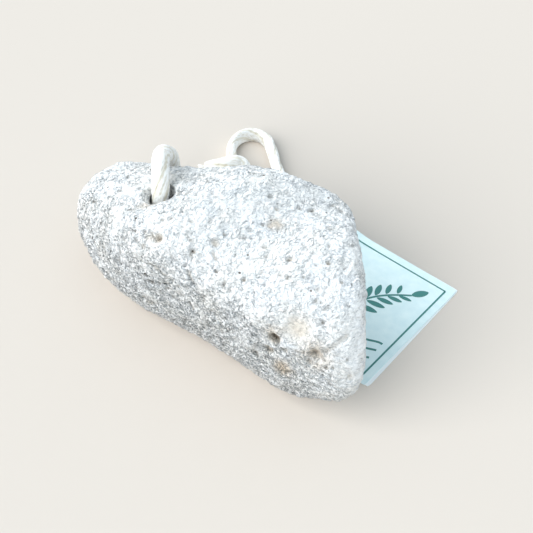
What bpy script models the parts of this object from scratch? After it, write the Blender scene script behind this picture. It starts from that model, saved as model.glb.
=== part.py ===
"""A drilled pumice stone for the bath, with its cotton cord and its card tag.

The stone lies on its belly. +X runs along it, from the drilled head to the nose, +Z is up, and the origin is
under the middle of the stone, on the surface that it lies on. One cord is threaded through the drilled hole
and through the tag, and its two ends are tied together in a knot behind the stone.
"""

from math import cos, pi, radians, sin

import bmesh
import bpy
import numpy as np
from mathutils import Matrix, Vector, noise

MM = 0.001

# ---- The stone, in mm: sections across it, from the head to the nose -----------------------------------
#  x      half width  middle y  underside  top   widest at  crest y
SECTIONS = (
    (-53.8, 0.0, -3.5, 18.5, 18.5, 18.5, -3.5),
    (-45.0, 16.5, -5.5, 10.0, 26.5, 17.0, -11.5),
    (-30.0, 23.5, -5.0, 5.5, 35.0, 15.5, -12.5),
    (-10.0, 28.5, -3.0, 0.0, 44.5, 27.5, -8.0),
    (10.0, 29.0, 2.5, -0.8, 41.0, 31.0, -2.5),
    (30.0, 18.5, -4.0, 2.0, 43.5, 32.0, 2.5),
    (45.0, 9.5, -8.0, 10.5, 37.5, 23.5, -4.5),
    (53.8, 0.0, -9.5, 21.5, 21.5, 21.5, -9.5),
)
BOX_POWER = 2.3  # 2 makes each section an ellipse, and more makes it boxier
SPHERE_LEVELS = 7  # subdivisions of the sphere that the stone is shaped from
STONE_SHARE = 0.088  # the share of its triangles that the finished stone keeps

# Soft hollows in the stone: middle, reach and depth
HOLLOWS = (
    ((-19.0, -15.0, 40.0), 13.0, 3.5),  # the worn dish round the drilled hole
    ((-15.0, 2.0, 45.0), 12.0, 1.2),  # the shallow valley that runs on from it
)
HOLLOW_WAY = (-0.25, -0.15, 0.95)  # the way out of a hollow

# The back of the belly is worn a little higher, which leaves room for the tag under it
BELLY_RELIEF = 2.2
BELLY_EDGE = 6.0  # the relief starts this far in front of the tag's edge
BELLY_TOP = 14.0  # and is gone at this height

# The drilled hole
HOLE_DIAMETER = 9.2
HOLE_MOUTH = (-22.4, -12.3, 35.1)
HOLE_WAY = (0.28, -0.29, 0.915)  # up, and out of the mouth
HOLE_DEPTH = 32.0  # from the upper mouth to the lower one
MOUTH_DIAMETER = 9.6  # where the rim is worn round
MOUTH_REACH = 1.5
HOLE_SIDES = 28

# Pits: along x, degrees round the section from the back (90 is the top), radius and depth
PITS = (
    (-5.5, 140, 1.9, 1.9),  # the dark pit below the hole
    (-7.8, 143, 2.4, 0.9),  # the pale hollow beside it
    (-10.2, 140, 1.0, 0.9),
    (-8.0, 153, 1.4, 0.8),
    (-2.5, 116, 1.0, 0.8),
    (5.8, 119, 1.6, 1.2),
    (6.2, 74, 1.0, 1.0),
    (9.0, 64, 0.9, 0.9),
    (9.8, 87, 1.0, 0.7),
    (15.0, 105, 1.1, 0.8),
    (19.5, 65, 0.9, 0.8),
    (23.2, 112, 1.3, 1.5),
    (27.2, 127, 0.9, 0.9),
    (34.5, 119, 1.2, 0.8),
    (33.8, 180, 2.4, 2.4),  # the deep pit under the scallop
    (33.0, -170, 1.9, 1.7),  # its long lower half
    (37.2, 179, 1.3, 1.1),
    (29.0, -159, 1.5, 1.2),
    (44.0, 155, 2.2, 1.7),  # the tan cavity low on the nose
    (43.5, 166, 1.4, 1.0),
    (-33.8, 112, 1.5, 0.8),
    (-36.8, 70, 1.1, 0.8),
    (-39.5, 121, 1.2, 0.7),
    (52.8, 130, 1.4, 1.0),  # the notch at the tip
)
SCALLOP = (37.8, 151, 5.2, 1.3)  # a broad shallow bite in the front, given as a pit
LEDGE = ((45.5, 146), (47.2, 111), 1.1, 0.8)  # a low step across the nose: two ends, reach and depth

SCATTERED_PITS = 120
SCATTER_SEED = 11
SCATTER_RADIUS = (0.8, 1.8)
SCATTER_DEPTH = 0.55  # times the radius
NAMED_SIDE = (0.3, -0.6, 0.7)  # the pits named above are on this side of the stone
LUMP_SIZE = 9.0  # the grain of the broad lumps
LUMP_HEIGHT = 0.45
GRAIN_SIZE = 3.2  # and of the rough skin
GRAIN_HEIGHT = 0.3

# ---- The card tag, in mm ---------------------------------------------------------------------------
TAG_LENGTH = 66.0
TAG_WIDTH = 53.5
TAG_THICKNESS = 0.5
TAG_CORNER = (37.7, 62.8)  # its far right corner, on the surface
TAG_TURN = 8.5  # degrees that its long side is turned from X
TAG_CLEAR = 0.15  # under its lower face
TAG_STEPS = (33, 27)
TAG_LIFT = 6.8  # how high the cord lifts its threaded corner
TAG_LIFT_LENGTH = 34.0
TAG_LIFT_FROM = 17.0  # the lift starts this far in from the side under the stone
TAG_HOLE_DIAMETER = 7.6
TAG_HOLE_INSET = 8.5  # from each edge of that corner

# ---- The cord, in mm ------------------------------------------------------------------------------
CORD_DIAMETER = 4.2
CORD_STEP = 4.4
CORD_ROUTE = (
    (-51.2, 47.9, 2.8),  # out of the knot
    (-54.8, 51.4, 2.45),
    (-56.8, 54.6, 2.45),
    (-57.8, 58.4, 2.45),
    (-57.2, 61.8, 2.45),
    (-54.8, 64.3, 2.45),
    (-51.2, 64.7, 2.45),
    (-46.8, 62.6, 2.45),  # the open loop that shows behind the stone
    (-38.4, 57.0, 2.4),
    (-31.0, 52.9, 2.3),
    (-25.3, 50.0, 2.3),
    (-21.4, 47.9, 3.1),
    (-17.9, 45.9, 5.1),  # up through the tag
    (-14.6, 44.0, 7.2),
    (-11.0, 40.8, 8.5),
    (-8.8, 36.2, 7.8),
    (-9.2, 31.2, 5.7),
    (-12.2, 26.6, 4.2),
    (-17.2, 22.6, 3.5),
    (-23.4, 19.4, 3.2),
    (-29.6, 16.4, 2.5),  # under the head
    (-34.8, 12.2, 2.3),
    (-37.2, 6.6, 2.3),
    (-36.4, 1.4, 3.2),
    (-33.3, -1.8, 6.2),
    (-31.0, -3.6, 11.4),  # up the drilled hole
    (-27.0, -7.3, 20.8),
    (-23.8, -10.1, 29.0),
    (-22.4, -11.2, 34.2),
    (-22.8, -11.1, 37.3),  # over the head
    (-24.8, -9.7, 39.9),
    (-28.2, -6.8, 40.8),
    (-31.6, -3.4, 39.3),
    (-34.6, 0.4, 36.4),
    (-39.0, 6.6, 30.4),
    (-43.0, 12.0, 23.8),
    (-45.3, 15.7, 16.7),
    (-46.4, 20.2, 9.6),
    (-46.5, 25.0, 4.7),
    (-46.4, 30.2, 2.7),
    (-46.3, 35.0, 2.6),
    (-46.2, 39.5, 3.3),  # into the knot
)

# ---- The knot, in mm: the middles and radii of its turns, and its two loose tails -------------------
KNOT_TURNS = (
    ((-44.9, 45.8, 4.6), 2.9),
    ((-46.4, 43.5, 3.6), 3.1),
    ((-48.6, 45.9, 3.3), 2.9),
    ((-46.8, 46.6, 3.7), 3.2),
)
KNOT_TAILS = (
    ((-48.4, 44.0, 2.8), (-53.2, 38.6, 2.3)),
    ((-44.2, 43.9, 2.8), (-39.4, 39.4, 2.3)),
)
KNOT_GRAIN = 0.55
KNOT_SHARE = 0.3

COLOURS = {
    "pumice_stone": ((0.84, 0.83, 0.80, 1.0), 0.95),
    "cord": ((0.86, 0.82, 0.74, 1.0), 0.9),
    "cord_knot": ((0.86, 0.82, 0.74, 1.0), 0.9),
    "swing_tag": ((0.70, 0.85, 0.88, 1.0), 0.6),
}


# ---- Small helpers --------------------------------------------------------------------------------


def clear_scene():
    for old in list(bpy.data.objects):
        bpy.data.objects.remove(old, do_unlink=True)


def new_collection(name):
    collection = bpy.data.collections.new(name)
    bpy.context.scene.collection.children.link(collection)
    return collection


def new_object(name, bm, collection):
    """A mesh object from bm, which is in mm."""
    bmesh.ops.recalc_face_normals(bm, faces=bm.faces)
    bmesh.ops.scale(bm, vec=(MM, MM, MM), verts=bm.verts)
    mesh = bpy.data.meshes.new(name)
    bm.to_mesh(mesh)
    bm.free()
    obj = bpy.data.objects.new(name, mesh)
    collection.objects.link(obj)
    return obj


def give_material(obj):
    colour, roughness = COLOURS[obj.name]
    material = bpy.data.materials.new(obj.name)
    material.use_nodes = True
    principled = material.node_tree.nodes["Principled BSDF"]
    principled.inputs["Base Color"].default_value = colour
    principled.inputs["Roughness"].default_value = roughness
    principled.inputs["Metallic"].default_value = 0.0
    obj.data.materials.append(material)


def cut(obj, cutter):
    """Takes the cutter's shape out of obj."""
    cutter.hide_render = True
    cutter.display_type = "WIRE"
    boolean = obj.modifiers.new(cutter.name, "BOOLEAN")
    boolean.operation = "DIFFERENCE"
    boolean.solver = "EXACT"
    boolean.object = cutter


def thin_out(obj, share):
    decimate = obj.modifiers.new("fewer_faces", "DECIMATE")
    decimate.ratio = share


def smooth_step(t):
    t = np.clip(t, 0.0, 1.0)
    return t * t * (3.0 - 2.0 * t)


def between(x, knots, values):
    """A smooth curve through values at the knots, read at x."""
    span = np.diff(knots)
    slope = np.diff(values) / span
    tangent = np.empty_like(values)
    tangent[0], tangent[-1] = slope[0], slope[-1]
    tangent[1:-1] = (slope[:-1] * span[1:] + slope[1:] * span[:-1]) / (span[:-1] + span[1:])
    i = np.clip(np.searchsorted(knots, x, side="right") - 1, 0, len(span) - 1)
    t = (x - knots[i]) / span[i]
    start = (1 + 2 * t) * (1 - t) ** 2 * values[i] + t * (1 - t) ** 2 * span[i] * tangent[i]
    end = t * t * (3 - 2 * t) * values[i + 1] + t * t * (t - 1) * span[i] * tangent[i + 1]
    return start + end


# ---- The stone's form ------------------------------------------------------------------------------


def tag_edge(x):
    """The y of the tag's edge that lies under the stone."""
    turn = radians(TAG_TURN)
    corner_x = TAG_CORNER[0] + TAG_WIDTH * sin(turn)
    corner_y = TAG_CORNER[1] - TAG_WIDTH * cos(turn)
    return corner_y + (x - corner_x) * np.tan(turn)


def form(points):
    """Points of a unit sphere, moved onto the stone's smooth form."""
    table = np.array(SECTIONS)
    knots = table[:, 0]
    half_length = (knots[-1] - knots[0]) / 2
    x = np.clip(points[:, 0] * half_length, knots[0], knots[-1])
    half, middle, under, top, widest, crest = table[:, 1:].T
    half = np.sqrt(np.maximum(between(x, knots, half**2), 0))
    rise = np.sqrt(np.maximum(between(x, knots, (top - widest) ** 2), 0))
    fall = np.sqrt(np.maximum(between(x, knots, (widest - under) ** 2), 0))
    middle, widest, crest = (between(x, knots, row) for row in (middle, widest, crest))

    turn = np.arctan2(points[:, 2], points[:, 1])
    side, height = np.cos(turn), np.sin(turn)
    reach = (np.abs(side) ** BOX_POWER + np.abs(height) ** BOX_POWER) ** (-1 / BOX_POWER)
    lean = (crest - middle) * np.maximum(height, 0) ** 2
    y = middle + half * side * reach + lean
    z = widest + np.where(height > 0, rise, fall) * height * reach
    shaped = np.stack([x, y, z], axis=1)

    for centre, spread, depth in HOLLOWS:
        away = np.linalg.norm(shaped - centre, axis=1) / spread
        shaped -= np.outer(depth * np.exp(-1.6 * away**2), HOLLOW_WAY)
    behind = smooth_step((shaped[:, 1] - tag_edge(shaped[:, 0]) + BELLY_EDGE) / BELLY_EDGE)
    shaped[:, 2] += BELLY_RELIEF * behind * smooth_step((BELLY_TOP - shaped[:, 2]) / BELLY_TOP)
    return shaped


def on_form(along, around):
    """The point of the form at x = along and so many degrees round its section."""
    x = along / SECTIONS[-1][0]
    ring = np.sqrt(max(1 - x * x, 0))
    turn = radians(around)
    return form(np.array([[x, ring * cos(turn), ring * sin(turn)]]))[0]


def bowl(points, centre, radius):
    """1 in the middle of a pit and 0 from its rim outwards."""
    away = np.linalg.norm(points - centre, axis=1) / radius
    return np.clip(1 - away**2, 0, 1) ** 1.3


def trough(points, start, end, reach):
    """1 along the line from start to end and 0 from its sides outwards."""
    way = end - start
    t = np.clip((points - start) @ way / (way @ way), 0, 1)
    away = np.linalg.norm(points - start - t[:, None] * way, axis=1) / reach
    return np.clip(1 - away**2, 0, 1) ** 1.3


def scattered_pits():
    """Seeded pits on the back and the underside, where none is named: places on the form, and radii."""
    random = np.random.default_rng(SCATTER_SEED)
    way = random.normal(size=(SCATTERED_PITS, 3))
    way /= np.linalg.norm(way, axis=1, keepdims=True)
    radii = random.uniform(*SCATTER_RADIUS, SCATTERED_PITS)
    unnamed = way @ NAMED_SIDE < 0
    return form(way[unnamed]), radii[unnamed]


def lumps(points):
    """How far the broad lumps and the rough skin push each point out."""
    push = np.empty(len(points))
    for i, point in enumerate(points):
        broad = noise.noise(Vector(point / LUMP_SIZE))
        grain = noise.noise(Vector(point / GRAIN_SIZE))
        push[i] = LUMP_HEIGHT * broad + GRAIN_HEIGHT * grain
    return push


def pits(points):
    """How deep every pit, the scallop and the ledge sink each point."""
    depth = np.zeros(len(points))
    for along, around, radius, deep in PITS + (SCALLOP,):
        depth = np.maximum(depth, deep * bowl(points, on_form(along, around), radius))
    start, end, reach, deep = LEDGE
    depth = np.maximum(depth, deep * trough(points, on_form(*start), on_form(*end), reach))
    for centre, radius in zip(*scattered_pits()):
        depth = np.maximum(depth, SCATTER_DEPTH * radius * bowl(points, centre, radius))
    return depth


def make_stone(parts, cutters):
    bm = bmesh.new()
    bmesh.ops.create_icosphere(bm, subdivisions=SPHERE_LEVELS, radius=1.0)
    points = form(np.array([v.co for v in bm.verts]))
    for v, point in zip(bm.verts, points):
        v.co = point
    bm.normal_update()
    normals = np.array([v.normal for v in bm.verts])
    points += normals * (lumps(points) - pits(points))[:, None]
    for v, point in zip(bm.verts, points):
        v.co = point
    stone = new_object("pumice_stone", bm, parts)
    thin_out(stone, STONE_SHARE)
    cut(stone, hole_cutter(cutters))
    cut(stone, ground_cutter(cutters))
    give_material(stone)
    return stone


def hole_cutter(cutters):
    """The drill's shape, a rod that widens at both mouths of the hole."""
    bore, mouth = HOLE_DIAMETER / 2, MOUTH_DIAMETER / 2
    over = 12.0
    outline = (
        (0.0, over),
        (mouth + 1.0, over),
        (mouth, 0.0),
        (bore, -MOUTH_REACH),
        (bore, -HOLE_DEPTH + MOUTH_REACH),
        (mouth, -HOLE_DEPTH),
        (mouth + 1.0, -HOLE_DEPTH - over),
        (0.0, -HOLE_DEPTH - over),
    )
    bm = bmesh.new()
    corners = [bm.verts.new((radius, 0.0, height)) for radius, height in outline]
    edges = [bm.edges.new(pair) for pair in zip(corners, corners[1:])]
    bmesh.ops.spin(
        bm, geom=corners + edges, cent=(0, 0, 0), axis=(0, 0, 1), angle=2 * pi, steps=HOLE_SIDES
    )
    bmesh.ops.remove_doubles(bm, verts=bm.verts, dist=0.001)
    turn = Vector((0, 0, 1)).rotation_difference(Vector(HOLE_WAY)).to_matrix().to_4x4()
    bmesh.ops.transform(bm, matrix=Matrix.Translation(HOLE_MOUTH) @ turn, verts=bm.verts)
    return new_object("drill", bm, cutters)


def ground_cutter(cutters):
    """A block whose top is the surface: it leaves a flat patch to rest on."""
    size, thickness = 150.0, 20.0
    bm = bmesh.new()
    bmesh.ops.create_cube(bm, size=1.0)
    bmesh.ops.scale(bm, vec=(size, size, thickness), verts=bm.verts)
    bmesh.ops.translate(bm, vec=(0, 0, -thickness / 2), verts=bm.verts)
    return new_object("ground", bm, cutters)


# ---- The tag ---------------------------------------------------------------------------------------


def tag_matrix():
    """Takes the tag's own place, with its threaded corner at 0, 0, to the stone's frame."""
    turn = Matrix.Rotation(radians(TAG_TURN), 4, "Z")
    return Matrix.Translation((*TAG_CORNER, 0.0)) @ turn @ Matrix.Translation((-TAG_LENGTH, 0, 0))


def tag_height(along, across):
    """The height of the tag's lower face: the cord lifts one corner."""
    near = smooth_step(1 - along / TAG_LIFT_LENGTH)
    side = smooth_step((across - TAG_LIFT_FROM) / (TAG_WIDTH - TAG_LIFT_FROM))
    return TAG_CLEAR + TAG_LIFT * near * side


def make_tag(parts, cutters):
    bm = bmesh.new()
    bmesh.ops.create_grid(bm, x_segments=TAG_STEPS[0], y_segments=TAG_STEPS[1], size=0.5)
    bmesh.ops.scale(bm, vec=(TAG_LENGTH, TAG_WIDTH, 1), verts=bm.verts)
    bmesh.ops.translate(bm, vec=(TAG_LENGTH / 2, -TAG_WIDTH / 2, 0), verts=bm.verts)
    for v in bm.verts:
        v.co.z = tag_height(v.co.x, TAG_WIDTH + v.co.y)
    sheet = list(bm.faces)
    bmesh.ops.recalc_face_normals(bm, faces=sheet)
    raised = bmesh.ops.extrude_face_region(bm, geom=sheet)
    top = [v for v in raised["geom"] if isinstance(v, bmesh.types.BMVert)]
    bmesh.ops.translate(bm, vec=(0, 0, TAG_THICKNESS), verts=top)
    bmesh.ops.transform(bm, matrix=tag_matrix(), verts=bm.verts)
    tag = new_object("swing_tag", bm, parts)
    cut(tag, punch_cutter(cutters))
    give_material(tag)
    return tag


def punch_cutter(cutters):
    bm = bmesh.new()
    radius = TAG_HOLE_DIAMETER / 2
    bmesh.ops.create_cone(
        bm, cap_ends=True, segments=HOLE_SIDES, radius1=radius, radius2=radius, depth=30.0
    )
    bmesh.ops.translate(bm, vec=(TAG_HOLE_INSET, -TAG_HOLE_INSET, 0), verts=bm.verts)
    bmesh.ops.transform(bm, matrix=tag_matrix(), verts=bm.verts)
    return new_object("punch", bm, cutters)


# ---- The cord and its knot -------------------------------------------------------------------------


def cord_points():
    """Points every CORD_STEP along the smooth curve through the route."""
    route = np.array(CORD_ROUTE)
    knots = np.concatenate([[0], np.cumsum(np.linalg.norm(np.diff(route, axis=0), axis=1))])
    fine = np.linspace(0, knots[-1], 2000)
    curve = np.stack([between(fine, knots, route[:, k]) for k in range(3)], axis=1)
    length = np.concatenate([[0], np.cumsum(np.linalg.norm(np.diff(curve, axis=0), axis=1))])
    even = np.linspace(0, length[-1], round(length[-1] / CORD_STEP) + 1)
    return np.stack([np.interp(even, length, curve[:, k]) for k in range(3)], axis=1)


def make_cord(parts):
    points = cord_points() * MM
    curve = bpy.data.curves.new("cord", "CURVE")
    curve.dimensions = "3D"
    curve.bevel_depth = CORD_DIAMETER / 2 * MM
    curve.bevel_resolution = 2
    curve.use_fill_caps = True
    spline = curve.splines.new("POLY")
    spline.points.add(len(points) - 1)
    for place, point in zip(spline.points, points):
        place.co = (*point, 1.0)
    cord = bpy.data.objects.new("cord", curve)
    parts.objects.link(cord)
    give_material(cord)
    return cord


def ball(bm, centre, radius):
    placed = Matrix.Translation(centre)
    bmesh.ops.create_icosphere(bm, subdivisions=3, radius=radius, matrix=placed)


def make_knot(parts):
    """Rounded turns and two tails, fused into one closed skin."""
    bm = bmesh.new()
    for centre, radius in KNOT_TURNS:
        ball(bm, centre, radius)
    for start, end in KNOT_TAILS:
        steps = 12
        for i in range(steps + 1):
            ball(bm, Vector(start).lerp(Vector(end), i / steps), CORD_DIAMETER / 2)
    knot = new_object("cord_knot", bm, parts)
    fuse = knot.modifiers.new("fuse", "REMESH")
    fuse.mode = "VOXEL"
    fuse.voxel_size = KNOT_GRAIN * MM
    thin_out(knot, KNOT_SHARE)
    give_material(knot)
    return knot


def main():
    clear_scene()
    parts = new_collection("pumice_stone_on_cord")
    cutters = new_collection("cutters")
    made = [make_stone(parts, cutters), make_tag(parts, cutters), make_knot(parts)]
    for obj in made:
        obj.data.shade_smooth()
    make_cord(parts)


main()
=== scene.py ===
# %% [markdown]
# # A drilled pumice stone on a cotton cord, with its card tag
#
# The solids of the stone, the cord, the knot and the tag are loaded first and stay fixed. They give the sizes
# and the places. Everything below gives the object its looks: the porous skin of the stone, the laid plies of
# the cord, the tied knot and the printed tag.

# %% Load the solids
from math import cos, pi, radians, sin

import bmesh
import bpy
import numpy as np
from mathutils import Euler, Matrix, Quaternion, Vector, noise


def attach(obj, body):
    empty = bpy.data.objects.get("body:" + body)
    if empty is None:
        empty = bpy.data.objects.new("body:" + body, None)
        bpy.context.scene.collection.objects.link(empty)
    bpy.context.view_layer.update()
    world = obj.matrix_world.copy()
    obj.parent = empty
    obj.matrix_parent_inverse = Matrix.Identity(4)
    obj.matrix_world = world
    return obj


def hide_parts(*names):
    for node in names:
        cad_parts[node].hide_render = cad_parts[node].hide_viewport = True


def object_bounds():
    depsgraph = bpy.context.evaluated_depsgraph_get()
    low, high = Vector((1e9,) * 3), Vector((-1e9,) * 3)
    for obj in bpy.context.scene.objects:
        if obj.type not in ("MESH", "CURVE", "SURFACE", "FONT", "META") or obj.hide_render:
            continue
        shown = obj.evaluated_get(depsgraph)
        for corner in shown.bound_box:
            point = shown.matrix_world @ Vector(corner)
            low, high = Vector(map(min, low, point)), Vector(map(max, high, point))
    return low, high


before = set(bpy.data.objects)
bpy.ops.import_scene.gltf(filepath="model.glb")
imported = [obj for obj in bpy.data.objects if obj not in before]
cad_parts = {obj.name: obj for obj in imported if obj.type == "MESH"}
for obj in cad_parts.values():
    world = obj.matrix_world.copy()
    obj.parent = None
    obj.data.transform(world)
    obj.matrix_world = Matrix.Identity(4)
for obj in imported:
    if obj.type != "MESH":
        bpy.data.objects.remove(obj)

MM = 0.001
cad_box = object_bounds()
size_mm = [round((high - low) / MM, 1) for low, high in zip(*cad_box)]
print("the solids measure", size_mm, "mm")

# %% [markdown]
# ## Camera
#
# A longish lens on a camera that looks down at the front of the stone, with its drilled head on the left and
# its nose on the right. The camera is turned a little about its own line of sight.

# %% Camera
CAMERA_PLACE = Vector((0.1532, -0.1796, 0.2369))
CAMERA_WAY = Vector((-0.4582, 0.5761, -0.6769))
CAMERA_ROLL = radians(10.4)
CAMERA_LENS = 76.3
CAMERA_SENSOR = 36.0

camera = bpy.data.objects.new("camera", bpy.data.cameras.new("camera"))
camera.data.lens = CAMERA_LENS
camera.data.sensor_width = CAMERA_SENSOR
camera.rotation_mode = "QUATERNION"
upright = CAMERA_WAY.to_track_quat("-Z", "Y")
camera.rotation_quaternion = upright @ Quaternion((0, 0, 1), CAMERA_ROLL)
camera.location = CAMERA_PLACE
bpy.context.scene.collection.objects.link(camera)
bpy.context.scene.camera = camera
print("camera", round(CAMERA_PLACE.length / MM), "mm from the middle of the stone's bed")

# %% [markdown]
# ## Helpers
#
# Every piece is modelled in a bmesh, in millimetres, and then made an object in metres. `between` is the
# smooth curve that the stone's sections and the cord's route both run along.

# %% Helpers for shapes


def new_piece(name, bm, smooth=True):
    """A mesh object from bm, which is in mm."""
    bmesh.ops.scale(bm, vec=(MM, MM, MM), verts=bm.verts)
    mesh = bpy.data.meshes.new(name)
    bm.to_mesh(mesh)
    bm.free()
    if smooth:
        mesh.shade_smooth()
    piece = bpy.data.objects.new(name, mesh)
    bpy.context.scene.collection.objects.link(piece)
    print(name, len(mesh.vertices), "points")
    return piece


def apply_modifiers(piece):
    """Gives the piece the mesh that its modifiers make."""
    depsgraph = bpy.context.evaluated_depsgraph_get()
    mesh = bpy.data.meshes.new_from_object(piece.evaluated_get(depsgraph))
    piece.modifiers.clear()
    piece.data = mesh
    print(piece.name, "now has", sum(len(face.vertices) - 2 for face in mesh.polygons), "triangles")


def smooth_step(t):
    """0 up to t = 0, 1 from t = 1, and a smooth rise between."""
    t = np.clip(t, 0.0, 1.0)
    return t * t * (3.0 - 2.0 * t)


def between(x, knots, values):
    """A smooth curve through values at the knots, read at x."""
    span = np.diff(knots)
    slope = np.diff(values) / span
    tangent = np.empty_like(values)
    tangent[0], tangent[-1] = slope[0], slope[-1]
    tangent[1:-1] = (slope[:-1] * span[1:] + slope[1:] * span[:-1]) / (span[:-1] + span[1:])
    i = np.clip(np.searchsorted(knots, x, side="right") - 1, 0, len(span) - 1)
    t = (x - knots[i]) / span[i]
    start = (1 + 2 * t) * (1 - t) ** 2 * values[i] + t * (1 - t) ** 2 * span[i] * tangent[i]
    end = t * t * (3 - 2 * t) * values[i + 1] + t * t * (t - 1) * span[i] * tangent[i + 1]
    return start + end


# %% [markdown]
# ## Materials
#
# One function turns a hex colour to linear, and one adds a node with its settings and links. A link is given
# as a pair of node and output name, and anything else is a value.

# %% Helpers for materials


def hex_colour(code):
    """Linear colour from an sRGB hex code."""
    srgb = [int(code[i : i + 2], 16) / 255 for i in (0, 2, 4)]
    linear = [c / 12.92 if c <= 0.04045 else ((c + 0.055) / 1.055) ** 2.4 for c in srgb]
    return (*linear, 1.0)


def add(tree, kind, inputs=(), stops=(), **settings):
    """A node with its settings, its inputs set or linked, and a colour ramp's stops."""
    node = tree.nodes.new(kind)
    for name, value in settings.items():
        setattr(node, name, value)
    for name, value in dict(inputs).items():
        if isinstance(value, tuple) and isinstance(value[0], bpy.types.Node):
            tree.links.new(value[0].outputs[value[1]], node.inputs[name])
        else:
            node.inputs[name].default_value = value
    for i, (place, code) in enumerate(stops):
        elements = node.color_ramp.elements
        element = elements[i] if i < 2 else elements.new(place)
        element.position = place
        element.color = hex_colour(code)
    return node


def new_material(name, **constants):
    """A Principled material: its tree and its shader, with the constants set on its sockets."""
    material = bpy.data.materials.new(name)
    material.use_nodes = True
    shader = material.node_tree.nodes["Principled BSDF"]
    for socket, value in constants.items():
        shader.inputs[socket.replace("_", " ")].default_value = value
    return material, material.node_tree, shader


def in_mm(tree):
    """Object coordinates in millimetres."""
    place = add(tree, "ShaderNodeTexCoord")
    return add(tree, "ShaderNodeMapping", {"Vector": (place, "Object"), "Scale": [1 / MM] * 3})


# %% [markdown]
# ## Cord
#
# A soft cotton cord, 4.2 mm across. It is one length whose two ends are tied together behind the stone. It
# runs from the knot in an open loop, up through the tag, under the head of the stone, up its drilled hole,
# over the head and back to the knot. The route's points are the same as the solid's.

# %% Cord route
CORD_STEP = 0.3  # mm between the rings of the cord
CORD_ROUTE = (
    (-51.2, 47.9, 2.8),  # out of the knot
    (-54.8, 51.4, 2.45),
    (-56.8, 54.6, 2.45),
    (-57.8, 58.4, 2.45),
    (-57.2, 61.8, 2.45),
    (-54.8, 64.3, 2.45),
    (-51.2, 64.7, 2.45),
    (-46.8, 62.6, 2.45),  # the open loop that shows behind the stone
    (-38.4, 57.0, 2.4),
    (-31.0, 52.9, 2.3),
    (-25.3, 50.0, 2.3),
    (-21.4, 47.9, 3.1),
    (-17.9, 45.9, 5.1),  # up through the tag
    (-14.6, 44.0, 7.2),
    (-11.0, 40.8, 8.5),
    (-8.8, 36.2, 7.8),
    (-9.2, 31.2, 5.7),
    (-12.2, 26.6, 4.2),
    (-17.2, 22.6, 3.5),
    (-23.4, 19.4, 3.2),
    (-29.6, 16.4, 2.5),  # under the head
    (-34.8, 12.2, 2.3),
    (-37.2, 6.6, 2.3),
    (-36.4, 1.4, 3.2),
    (-33.3, -1.8, 6.2),
    (-31.0, -3.6, 11.4),  # up the drilled hole
    (-27.0, -7.3, 20.8),
    (-23.8, -10.1, 29.0),
    (-22.4, -11.2, 34.2),
    (-22.8, -11.1, 37.3),  # over the head
    (-24.8, -9.7, 39.9),
    (-28.2, -6.8, 40.8),
    (-31.6, -3.4, 39.3),
    (-34.6, 0.4, 36.4),
    (-39.0, 6.6, 30.4),
    (-43.0, 12.0, 23.8),
    (-45.3, 15.7, 16.7),
    (-46.4, 20.2, 9.6),
    (-46.5, 25.0, 4.7),
    (-46.4, 30.2, 2.7),
    (-46.3, 35.0, 2.6),
    (-46.2, 39.5, 3.3),  # into the knot
)

CURVE_SAMPLES = 4000


def even_curve(route, step):
    """Points about a step apart along the smooth curve through the route, and the curve's length."""
    route = np.array(route)
    knots = np.concatenate([[0], np.cumsum(np.linalg.norm(np.diff(route, axis=0), axis=1))])
    fine = np.linspace(0, knots[-1], CURVE_SAMPLES)
    curve = np.stack([between(fine, knots, route[:, k]) for k in range(3)], axis=1)
    along = np.concatenate([[0], np.cumsum(np.linalg.norm(np.diff(curve, axis=0), axis=1))])
    even = np.linspace(0, along[-1], round(along[-1] / step) + 1)
    return np.stack([np.interp(even, along, curve[:, k]) for k in range(3)], axis=1), along[-1]


cord_line, cord_length = even_curve(CORD_ROUTE, CORD_STEP)
print("the cord is", round(cord_length), "mm long")

# %% [markdown]
# The cord is soft and loosely laid: four plies wind round it at a low angle, so they run almost along it. A
# grid is bent into a tube round the route, and each of its points is pushed in or out by the height of the
# plies there. Where the cord lies in its loop it stands on edge, and where it leaves the hole it is spread.
# Each point also keeps its place in the untwisted cord, so that the material's fibres follow the plies.

# %% Laid tube
PLIES = 4
LAY = 38.0  # mm of cord for one turn of a ply
PLY_HEIGHT = 0.16
PLY_WANDER = 0.06  # turns that a ply strays
PLY_WANDER_SIZE = 7.0  # mm along the cord from one stray to the next
END_ROUND = 0.8  # mm over which each end closes
FLUFF_SIZE, FLUFF_HEIGHT = 0.55, 0.1
TUBE_SIDES = 48
CORD_SECTIONS = (  # mm along the cord, its width and its height
    (0.0, 3.6, 5.2),
    (44.0, 3.6, 5.2),
    (60.0, 4.2, 4.2),
    (155.0, 4.2, 4.2),
    (168.0, 5.1, 5.1),
    (192.0, 4.7, 4.7),
    (215.0, 4.2, 4.2),
    (245.0, 4.2, 4.2),
)


def across_frames(line):
    """At each point of the line, two directions across it that don't twist."""
    ahead = np.gradient(line, axis=0)
    ahead /= np.linalg.norm(ahead, axis=1, keepdims=True)
    side = np.cross(ahead[0], (0, 0, 1.0))
    sides = np.empty_like(line)
    for i, way in enumerate(ahead):
        side = side - way * (side @ way)
        side /= np.linalg.norm(side)
        sides[i] = side
    return sides, np.cross(ahead, sides)


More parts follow.
